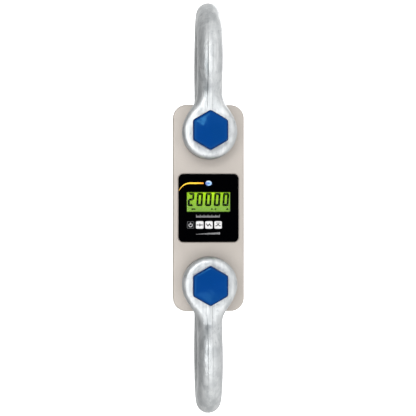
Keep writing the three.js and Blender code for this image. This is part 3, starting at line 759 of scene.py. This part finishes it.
def digit_segments(digit, x, z):
    """The lit segments of a seven-segment digit as outlines, with round outer corners."""
    height, width, stroke, slant = 24.4 * MM, 11.6 * MM, 3.8 * MM, 0.065
    steps, gap = 16, 0.15 * MM
    right, left = width / 2, -width / 2
    outer = rectangle(width, height, 2.6 * MM, steps=steps)()
    inner = rectangle(width - 2 * stroke, height - 2 * stroke, 0.9 * MM, steps=steps)()
    # the place in each outline of each corner's middle point, from the top right
    corner = [k * (steps + 1) + steps // 2 for k in range(4)]
    half_round = 2 * (steps + 1)

    def stretch(first, last, start=(), end=()):
        """The ring's part between two corner middles, or between one and a cut across a side."""
        side_out = list(start[:1]) + outer[first:last] + list(end[:1])
        side_in = list(start[1:]) + inner[first:last] + list(end[1:])
        return side_out + side_in[::-1]

    def cut(side, level):
        return ((side, level), (side - math.copysign(stroke, side), level))

    blunt, tip = 0.95 * stroke, 0.35 * stroke
    shapes = {
        "a": stretch(corner[0], corner[1]),
        "f": stretch(corner[1], half_round, end=cut(left, gap)),
        "e": stretch(half_round, corner[2], start=cut(left, -gap)),
        "d": stretch(corner[2], corner[3]),
        "c": stretch(corner[3], 2 * half_round, end=cut(right, -gap)),
        "b": stretch(0, corner[0], start=cut(right, gap)),
        "g": [(right - tip, 0.0), (right - blunt, stroke / 2), (left + blunt, stroke / 2),
              (left + tip, 0.0), (left + blunt, -stroke / 2), (right - blunt, -stroke / 2)],
    }
    return [[polygon([(x + px + slant * pz, z + pz) for px, pz in shapes[name]])] for name in SEGMENTS[digit]]


def reading():
    """The number on the display, and signs for the cell, a steady load and the mass under it."""
    face_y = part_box("lcd_glass")[0][1] - 0.02 * MM
    place = middle("display_window")
    pitch = 16.15 * MM
    marks = []
    for i, digit in enumerate((2, 0, 0, 0, 0)):
        marks += digit_segments(digit, place.x + (i - 2) * pitch, place.z + 4.6 * MM)
    row = place.z - 13.2 * MM
    cell_x, steady_x, mass_x = (place.x + x * MM for x in (-28.2, 9.8, 35.2))
    marks.append([rectangle(6.6 * MM, 2.5 * MM, 0.4 * MM, cell_x, row, 3)])
    marks.append([rectangle(0.9 * MM, 1.3 * MM, 0.2 * MM, cell_x + 3.9 * MM, row, 3)])
    for side in (-1, 1):
        tip, base, half = steady_x + side * 0.6 * MM, steady_x + side * 4.6 * MM, side * 1.9 * MM
        marks.append([polygon([(tip, row), (base, row + half), (base, row - half)])])
    foot, top, low_half, top_half = row - 1.5 * MM, row + 0.8 * MM, 2.6 * MM, 1.5 * MM
    marks.append([polygon([(mass_x - low_half, foot), (mass_x + low_half, foot),
                           (mass_x + top_half, top), (mass_x - top_half, top)])])
    marks.append([circle(0.8 * MM, mass_x, row + 1.3 * MM, 20)])
    printed("display_reading", marks, face_y, DIGIT_INK)
    border = [screen_outline(0.1 * MM), screen_outline(-0.9 * MM)]
    printed("display_border", [border], face_y, DIGIT_INK)


def key_symbol(name):
    """Each key's generic sign: a switch ring, a zero between arrows, a wave, or a peak under a line."""
    place = middle(f"{name}_key")
    x, z = place.x, place.z

    def stroke(start, end, width):
        """A straight mark between two places in millimetres from the key's middle."""
        (ax, az), (bx, bz) = start, end
        return [bar(x + ax * MM, z + az * MM, x + bx * MM, z + bz * MM, width * MM)]

    if name == "power":
        arc = []
        for radius, way in ((3.8 * MM, 1), (2.5 * MM, -1)):
            sweep = [math.radians(125 + 290 * step / 30) for step in range(31)][::way]
            arc += [(x + radius * math.cos(t), z - 0.4 * MM + radius * math.sin(t)) for t in sweep]
        return [[polygon(arc)], stroke((0, 0.9), (0, 3.9), 1.3)]
    if name == "zero":
        hole = rectangle(1.0 * MM, 2.2 * MM, 0.45 * MM, x, z, 6)
        marks = [[rectangle(3.6 * MM, 5.0 * MM, 1.7 * MM, x, z, 6), hole]]
        for side in (-1, 1):
            marks.append(stroke((side * 5.6, 0), (side * 3.6, 0), 1.3))
            tip, back, half = x + side * 2.3 * MM, x + side * 4.1 * MM, side * 1.9 * MM
            marks.append([polygon([(tip, z), (back, z + half), (back, z - half)])])
        return marks
    if name == "graph":
        turns, width = [(-4.4, 1.9), (-1.9, -2.0), (1.0, 2.0), (3.2, -1.7), (4.4, -1.9)], 1.7
        return [stroke(a, b, width) for a, b in zip(turns, turns[1:])]
    turns, width = [(-4.4, -1.8), (-2.1, -1.4), (0.0, 1.7), (2.1, -1.4), (4.4, -1.8)], 1.6
    return [stroke(a, b, width) for a, b in zip(turns, turns[1:])] + [stroke((-3.6, 3.5), (3.6, 3.5), 1.2)]


def key(name):
    """A key's cap with a rounded face, its flange behind the overlay, and its printed sign."""
    node, body = f"{name}_key", f"{name}_button"
    low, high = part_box(node)
    place = middle(node)
    flange = rectangle(high[0] - low[0], high[2] - low[2], 3.2 * MM, place.x, place.z, 6)
    face = key_outline(name)
    shoulder = high[1] - 1.2 * MM
    rounding = [(0.7, 0.0), (0.35, 0.06), (0.1, 0.22), (0.0, 0.5)]  # inset and depth in millimetres
    levels = [(face, inset * MM, low[1] + depth * MM) for inset, depth in rounding]
    levels += [(face, 0, shoulder), (flange, 0, shoulder), (flange, 0, high[1] - 0.4 * MM)]
    solid = Solid()
    solid.close([solid.follow(*level) for level in levels])
    solid.piece(f"{name}_key_cap", body, "black_key" if name == "power" else "white_key", [node])
    ink = GREY_PRINT if name == "power" else DARK_PRINT
    printed(f"{name}_key_sign", key_symbol(name), low[1], ink, body)
    if name == "power":
        border = [key_outline(name, -0.55 * MM), key_outline(name, -1.05 * MM)]
        printed("power_key_border", [border], low[1], BORDER_PRINT, body)


# ---------------- the shackles

BOW_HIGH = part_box("upper_shackle_bow")[1]
BAR = BOW_HIGH[2] / 2  # the bow bar's radius: the crown is one bar thick above the origin
EYE = BOW_HIGH[0]  # the ear's outer radius
WIDE = BOW_HIGH[1] - BAR  # from the middle to the bar's centre line, at the widest
EAR_INNER = 37 * MM
EAR_OUTER = 82 * MM
EAR_MIDDLE = (EAR_INNER + EAR_OUTER) / 2
CROWN_CENTRE = -UPPER_PIN_Z + BAR - WIDE  # height of the crown's centre above the bolt
NECK = 62 * MM  # where the bar leaves the ear's plane
EAR_EDGE = 9.5 * MM  # how round the ears' edges are
EAR_HALF = 22.5 * MM  # half an ear's thickness
SEAM = 4.2 * MM  # half the width of the flash along the parting line


def bow_path():
    """The centre line from one ear's lowest point over the crown to the other's, as (y, z)."""
    bottom = EYE * (1 - np.cos(np.linspace(0, math.pi / 2, 34))) - EYE
    straight = [(EAR_MIDDLE, z) for z in bottom] + [(EAR_MIDDLE, z) for z in np.linspace(0, NECK, 42)[1:]]
    top = CROWN_CENTRE
    handles = [(EAR_MIDDLE, NECK), (EAR_MIDDLE, NECK + 30 * MM), (WIDE, top - 38 * MM), (WIDE, top)]
    neck = bezier(handles, 34)
    crown = [(WIDE * math.cos(a), top + WIDE * math.sin(a)) for a in np.linspace(0, math.pi / 2, 30)[1:]]
    half = straight + neck + crown
    return np.array([(-y, z) for y, z in half] + [(y, z) for y, z in half[-2::-1]])


def smooth_min(a, b, width):
    share = np.clip(0.5 + 0.5 * (b - a) / width, 0, 1)
    return b + (a - b) * share - width * share * (1 - share)


def bow_surface(height, across, out, leg_share):
    """Negative inside the forging. height is along the leg, across is along X, and out is off the line."""
    face = smooth_min(np.hypot(across, height) - EYE, np.abs(across) - BAR, 26 * MM)
    face = np.where(height < -0.2 * EYE, np.hypot(across, height) - EYE, face)
    ear = 1 - np.clip((height - 30 * MM) / (52 * MM), 0, 1)
    ear = ear * ear * (3 - 2 * ear)
    edge = BAR + (EAR_EDGE - BAR) * ear
    half = BAR + (EAR_HALF - BAR) * ear
    step_up, step_down = (0.5 + 0.5 * np.tanh((across + off) / (0.45 * MM)) for off in (SEAM, -SEAM))
    flash = (1.0 * MM * step_up - 0.75 * MM * step_down) * np.exp(-(across / (13 * MM)) ** 2)
    inward, outward = face + edge, np.abs(out) - (half - edge)
    rounded = np.hypot(np.maximum(inward, 0), np.maximum(outward, 0))
    rounded += np.minimum(np.maximum(inward, outward), 0)
    return rounded - edge - flash * leg_share


def bow(prefix, pin_z, turn):
    """The forged bow: rings square to its centre line, each reaching out to the forging's surface."""
    path = bow_path()
    tangents = directions(path)
    outwards = np.column_stack([-tangents[:, 1], tangents[:, 0]])
    count, sides, halvings, farthest = len(path), 120, 34, 75 * MM
    turns = np.linspace(0, 2 * math.pi, sides, endpoint=False)
    turns = turns - 0.33 * np.sin(2 * turns)  # closer together along the parting line
    travelled = np.concatenate([[0], np.cumsum(np.linalg.norm(np.diff(path, axis=0), axis=1))])
    height = np.minimum(travelled, travelled[-1] - travelled) - EYE
    leg_share = np.clip((height - 5 * MM) / (40 * MM), 0.25, 1)
    leg_share *= np.clip((235 * MM - height) / (90 * MM), 0, 1)
    h, share = height[:, None], leg_share[:, None]
    low, high = np.zeros((count, sides)), np.full((count, sides), farthest)
    for _ in range(halvings):  # closes in on how far the forging reaches in each direction
        reach = (low + high) / 2
        inside = bow_surface(h, reach * np.sin(turns), reach * np.cos(turns), share) < 0
        low, high = np.where(inside, reach, low), np.where(inside, high, reach)
    across, out = low * np.sin(turns), low * np.cos(turns)
    across[0] = across[-1] = 0
    y = path[:, :1] + out * outwards[:, :1]
    z = path[:, 1:] + out * outwards[:, 1:]
    ripple = 0.22 * MM * np.sin(31 * z + 3 * turn) * np.sin(57 * y + 21 * across + 1.3)
    across = across + ripple * np.sign(across) * np.clip(np.abs(across) / (10 * MM), 0, 1)
    solid = Solid()
    rings = [solid.ring(list(zip(turn * across[i], y[i], pin_z + turn * z[i]))) for i in range(count)]
    solid.skin(rings)
    made = solid.piece(f"{prefix}_forged_bow", f"{prefix}_shackle", "galvanised_steel",
                       [f"{prefix}_shackle_bow"])
    drill_ears(made, pin_z)


def drill_ears(made, pin_z):
    """Cuts the bolt's bores through both ears, wider where they meet a face."""
    bore, flare = 26.6 * MM, 1.6 * MM
    wide, far = bore + 2.2 * flare, EAR_OUTER + 6 * MM
    profile = [(0, -far), (wide, -far), (bore, -EAR_OUTER + flare), (bore, -EAR_INNER - flare),
               (wide, -EAR_INNER + 2 * flare), (wide, EAR_INNER - 2 * flare), (bore, EAR_INNER + flare),
               (bore, EAR_OUTER - flare), (wide, far), (0, far)]
    drill = add("drill", turned(profile, z=pin_z, segments=96).mesh("drill"))
    bores = made.modifiers.new("bores", "BOOLEAN")
    bores.object = drill
    bores.operation = "DIFFERENCE"
    bores.solver = "EXACT"
    graph = bpy.context.evaluated_depsgraph_get()
    drilled = bpy.data.meshes.new_from_object(made.evaluated_get(graph))
    made.modifiers.clear()
    made.data = drilled
    bpy.data.objects.remove(drill)
    drilled.set_sharp_from_angle(angle=SHARP)


def painted_bolt(prefix, pin_z):
    """The bolt's shank and its worn hexagonal head, whose face is a low dome."""
    node = f"{prefix}_shackle_bolt"
    low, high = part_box(node)
    flats, front, seat = high[0] - low[0], low[1], -EAR_OUTER - FIT_GAP
    half, face, bevel = flats / 2, flats / 2 - 3.2 * MM, 1.4 * MM
    shank, end = 25 * MM, EAR_OUTER + 0.2 * MM
    dome = [(share * face, front + bevel * share ** 2, share ** 2) for share in np.linspace(0, 1, 9)]
    edge = [(face + 1.0 * MM, front + 1.8 * MM, 1), (half - 0.9 * MM, front + 2.9 * MM, 1),
            (half - 0.2 * MM, front + 4.2 * MM, 1), (half, front + 5.6 * MM, 1)]
    under = [(half, seat - 1.0 * MM, 1), (half - 0.8 * MM, seat, 1), (shank + 1.2 * MM, seat),
             (shank, seat + 1.0 * MM)]
    tail = [(shank, end - 0.8 * MM), (shank - 1.0 * MM, end), (0, end)]
    bolt = turned(dome + edge + under + tail, z=pin_z, segments=144, flats=flats)
    bolt.piece(f"{prefix}_painted_bolt", f"{prefix}_bolt", "blue_steel", [node])


def bolt_thread(prefix, pin_z):
    """The bolt's bare threaded end, from inside the nut to its chamfered tip."""
    node = f"{prefix}_shackle_bolt"
    root, depth, pitch, crest_width = 20.2 * MM, 0.75 * MM, 4.5 * MM, 1.35
    tip, chamfer, runout = root - 1.6 * MM, 2.3 * MM, 2.5 * MM
    start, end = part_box(f"{prefix}_shackle_nut")[1][1] - 6 * MM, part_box(node)[1][1]
    rows, segments = 10 * round((end - start) / pitch), 72
    solid = Solid()
    rings = [solid.ring([(0, start, pin_z)] * segments)]
    for row in range(rows + 1):
        y = start + (end - start) * row / rows
        limit = tip + chamfer * min(1.0, (end - y) / runout)
        ring = []
        for k, t in enumerate(angles(segments)):
            phase = (y / pitch - k / segments) % 1
            crest = min(1.0, crest_width * (1 - abs(2 * phase - 1)))
            reach = min(root + depth * crest, limit)
            ring.append((reach * math.cos(t), y, pin_z + reach * math.sin(t)))
        rings.append(solid.ring(ring))
    rings.append(solid.ring([(0, end, pin_z)] * segments))
    solid.skin(rings)
    solid.piece(f"{prefix}_bolt_thread", f"{prefix}_bolt", "zinc_steel", [node])


def hexagon_nut(prefix, pin_z):
    """A nut whose corners are turned off on both sides."""
    node = f"{prefix}_shackle_nut"
    low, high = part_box(node)
    flats, hole, front = high[0] - low[0], 21.4 * MM, low[1]
    side = [(hole, front + 1.2 * MM, 0), (hole + 1.4 * MM, front, 0), (0.46 * flats, front, 0),
            (flats / 2 - 0.8 * MM, front + 1.0 * MM, 0.55), (flats / 2, front + 1.9 * MM, 1)]
    other = [(radius, low[1] + high[1] - y, share) for radius, y, share in reversed(side)]
    nut = turned(side + other + side[:1], z=pin_z, segments=144, flats=flats)
    nut.piece(f"{prefix}_hexagon_nut", f"{prefix}_bolt", "galvanised_steel", [node])


def split_pin(prefix, pin_z):
    """Bent wire: an eye above the bolt, and two legs turned outwards below it."""
    node, body = f"{prefix}_split_pin", f"{prefix}_bolt"
    y, reach = middle(node).y, 21 * MM
    inside = pin_z + reach - 6 * MM

    def at(x, z):
        """A place in millimetres from the bolt's surface, above it or below it."""
        return (x * MM, y, pin_z + math.copysign(reach, z) + z * MM)

    eye = smooth_path([(0, y, inside), at(-0.6, 1.5), at(-5.2, 7), at(-6, 13), at(0, 17.2), at(6, 13),
                       at(5.2, 7), at(1.4, 2.6)], 10)
    rod_along(eye, 2.4 * MM).piece(f"{prefix}_split_pin_eye", body, "zinc_steel", [node])
    for side, name in ((-1, "left"), (1, "right")):
        leg = smooth_path([(side * 1.1 * MM, y, inside), (side * 1.1 * MM, y, pin_z - reach),
                           at(side * 3.2, -5), at(side * 10, -8), at(side * 16, -5.4)], 12)
        rod_along(leg, 2.1 * MM).piece(f"{prefix}_split_pin_leg_{name}", body, "zinc_steel", [node])


def spacer(node, prefix):
    low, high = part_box(node)
    outer, inner, edge = (high[0] - low[0]) / 2, 25.6 * MM, 0.8 * MM
    near, far, cut = low[1], high[1], 0.3 * edge
    profile = [(inner, near), (outer - edge, near), (outer - cut, near + cut), (outer, near + edge),
               (outer, far - edge), (outer - cut, far - cut), (outer - edge, far), (inner, far),
               (inner, near)]
    ring = turned(profile, z=middle(node).z, segments=96)
    ring.piece(f"{node}_ring", f"{prefix}_bolt", "black_nylon", [node])


# ---------------- the whole scale

link_block()
battery_cover()
for screw_number in COVER_SCREWS:
    cover_screw(screw_number)
overlay()
window()
overlay_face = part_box("membrane_overlay")[0][1]
stripe(overlay_face)
badge(overlay_face)
scale_marks(overlay_face)
reading()
for key_name in KEYS:
    key(key_name)
for which, pin_height, way in (("upper", UPPER_PIN_Z, 1), ("lower", LOWER_PIN_Z, -1)):
    bow(which, pin_height, way)
    painted_bolt(which, pin_height)
    bolt_thread(which, pin_height)
    hexagon_nut(which, pin_height)
    split_pin(which, pin_height)
    for end_name in ("front", "rear"):
        spacer(f"{which}_{end_name}_spacer", which)

slots = {part["node"]: part["material_slot"] for part in frame["record"]["subparts"]}
for node_name, node in frame["nodes"].items():
    node.data.materials.clear()
    node.data.materials.append(FINISHES[slots[node_name]])

# ---------------- the studio


def cove():
    """A pale round floor that curves up into a wall on every side."""
    floor_z, wall, bend, top, steps, segments = -0.95, 6.0, 2.0, 6.0, 24, 96
    profile = [(0, floor_z), (wall - bend, floor_z)]
    for step in range(1, steps + 1):
        angle = math.pi / 2 * step / steps
        profile.append((wall - bend + bend * math.sin(angle), floor_z + bend * (1 - math.cos(angle))))
    profile.append((wall, top))
    solid = Solid()
    rings = []
    for radius, z in profile:
        rings.append(solid.ring([(radius * math.cos(t), radius * math.sin(t), z) for t in angles(segments)]))
    solid.skin(rings)
    finish = Finish("studio_white", (0.92, 0.92, 0.92, 1), 0.9)
    finish.set("Emission Color", (1, 1, 1, 1))
    finish.set("Emission Strength", 0.8)
    finish.mottle((0.9, 0.9, 0.9, 1), 0.2, finish.noise(0.6, 2), 0.3, 0.7)
    made = solid.show("studio_cove", finish.material)
    made.visible_diffuse = made.visible_glossy = made.visible_transmission = made.visible_shadow = False


def lamp(name, place, size, power):
    """A rectangular lamp that shines at the link's middle."""
    light = bpy.data.lights.new(name, "AREA")
    light.shape = "RECTANGLE"
    light.size, light.size_y = size
    light.energy = power
    made = add(name, light)
    made.location = place
    made.rotation_euler = (Vector((0, 0, LINK_Z)) - Vector(place)).to_track_quat("-Z", "Y").to_euler()
    made.visible_camera = False


def sky(base, glows):
    """A soft surround: a base brightness, and glows as (direction, strength, cosine where it starts)."""
    world = bpy.data.worlds.new("studio_sky")
    world.use_nodes = True
    nodes, links = world.node_tree.nodes, world.node_tree.links
    direction = nodes.new("ShaderNodeTexCoord").outputs["Generated"]
    total = None
    for way, strength, start in glows:
        dot = nodes.new("ShaderNodeVectorMath")
        dot.operation = "DOT_PRODUCT"
        dot.inputs[1].default_value = Vector(way).normalized()
        links.new(direction, dot.inputs[0])
        glow = nodes.new("ShaderNodeMapRange")
        glow.interpolation_type = "SMOOTHSTEP"
        glow.inputs["From Min"].default_value = start
        glow.inputs["To Max"].default_value = strength
        links.new(dot.outputs["Value"], glow.inputs["Value"])
        both = nodes.new("ShaderNodeMath")
        links.new(glow.outputs["Result"], both.inputs[0])
        if total:
            links.new(total, both.inputs[1])
        else:
            both.inputs[1].default_value = base
        total = both.outputs["Value"]
    nodes["Background"].inputs["Color"].default_value = (1, 1, 1, 1)
    links.new(total, nodes["Background"].inputs["Strength"])
    bpy.context.scene.world = world


def studio():
    cove()
    sky(0.3, [
        ((0, -1, 0), 0.7, 0.45),  # from the front
        ((0, -1, 0.8), 0.3, 0.6),  # from above and below the front, for the bars
        ((0, -1, -0.8), 0.48, 0.6),
        ((0.05, -1, 0), -0.7, 0.955),  # a dark place round the camera keeps the paint deep
        ((1, -0.3, 0), 0.5, 0.0),  # from the right, and less from the left
        ((-1, 0, 0), -0.16, 0.5),
        ((0.2, 0, 1), 0.22, 0.2),  # from above and below
        ((0.2, 0, -1), 0.3, 0.2),
        ((0.1, 1, 0.2), 0.62, 0.3),  # from behind
    ])
    lamp("key_light", (-0.5, -0.95, LINK_Z), (0.5, 1.3), 4.5)
    lamp("fill_light", (1.1, -1.9, 0.7), (0.6, 0.9), 1)
    lamp("upper_sheen_light", (-0.24, -2.0, LINK_Z + 0.61), (0.35, 0.35), 4.0)
    lamp("lower_sheen_light", (0.0, -2.0, LINK_Z - 0.62), (0.35, 0.35), 0.9)
    lamp("rim_light", (0.8, 1.8, 0.9), (1.0, 1.0), 8)
    bpy.context.scene.view_settings.view_transform = "Standard"


def camera():
    """Square to the display but a little to its left, at the level of the link's middle."""
    away, azimuth, aside = 1.8, math.radians(-2.8), 0.4 * MM
    data = bpy.data.cameras.new("camera")
    data.sensor_width = 36
    data.lens = 82.7
    made = add("camera", data)
    back = Vector((math.sin(azimuth), -math.cos(azimuth), 0))
    made.location = Vector((0, 0, LINK_Z)) + back * away + Vector((aside, 0, 0))
    made.rotation_euler = (-back).to_track_quat("-Z", "Y").to_euler()
    bpy.context.scene.camera = made


camera()
studio()
